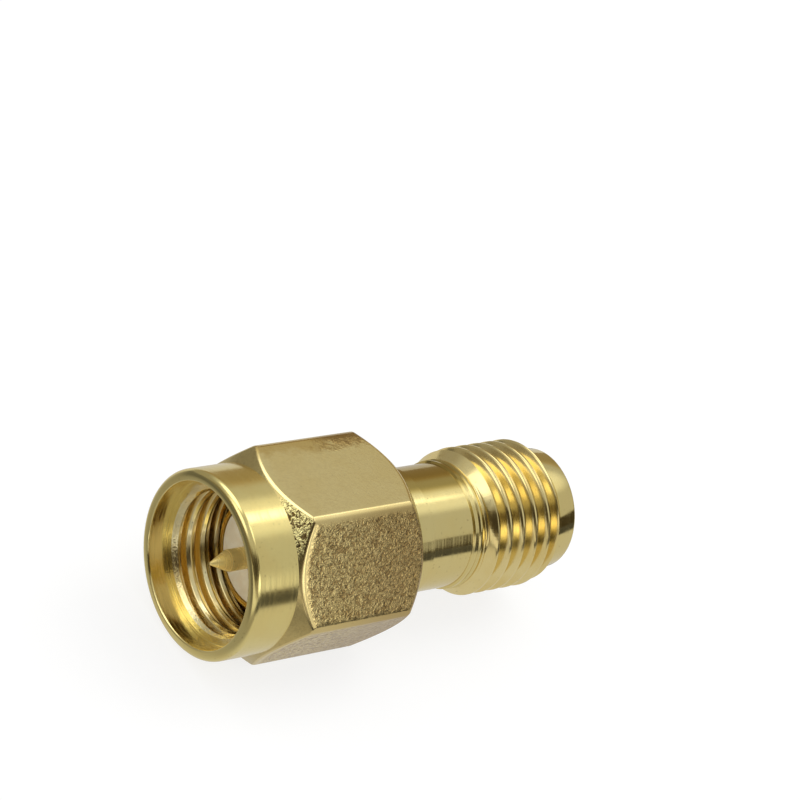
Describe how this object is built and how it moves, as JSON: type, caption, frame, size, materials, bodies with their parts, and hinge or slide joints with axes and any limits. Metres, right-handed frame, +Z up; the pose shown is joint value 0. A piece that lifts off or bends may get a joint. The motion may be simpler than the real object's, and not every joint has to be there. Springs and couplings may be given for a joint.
{
  "type": "coax adapter",
  "caption": "Straight gold-plated coaxial adapter: a pin plug with a free hexagonal coupling nut at one end, a threaded jack with a centre pin at the other.",
  "frame": {"origin": "on the surface that the adapter lies on, under the middle of its length", "axes": "+X along the connector axis from the plug to the jack, +Z up through the middle of the nut's top flat"},
  "size_m": [0.018, 0.009, 0.008],
  "materials": {
    "nut_gold": "gold plated brass, turned nose, tumbled flats",
    "ring_bronze": "plated spring bronze",
    "body_gold": "gold plated brass, fine turning marks",
    "plug_ptfe": "white PTFE",
    "jack_ptfe": "white PTFE",
    "contact_gold": "gold plated contact"
  },
  "bodies": {
    "adapter": {"adapter_body": "body_gold", "plug_insulator": "plug_ptfe", "jack_insulator": "jack_ptfe", "centre_contact": "contact_gold"},
    "ring": {"retaining_ring": "ring_bronze"},
    "nut": {"coupling_nut": "nut_gold"}
  },
  "joints": [
    {"name": "nut_float", "type": "slide", "parent": "adapter", "child": "ring", "axis": [1, 0, 0], "range_m": [-0.0003, 0]},
    {"name": "nut_spin", "type": "hinge", "parent": "ring", "child": "nut", "pos_m": [-0.00477, 0, 0.004], "axis": [1, 0, 0], "continuous": true}
  ]
}
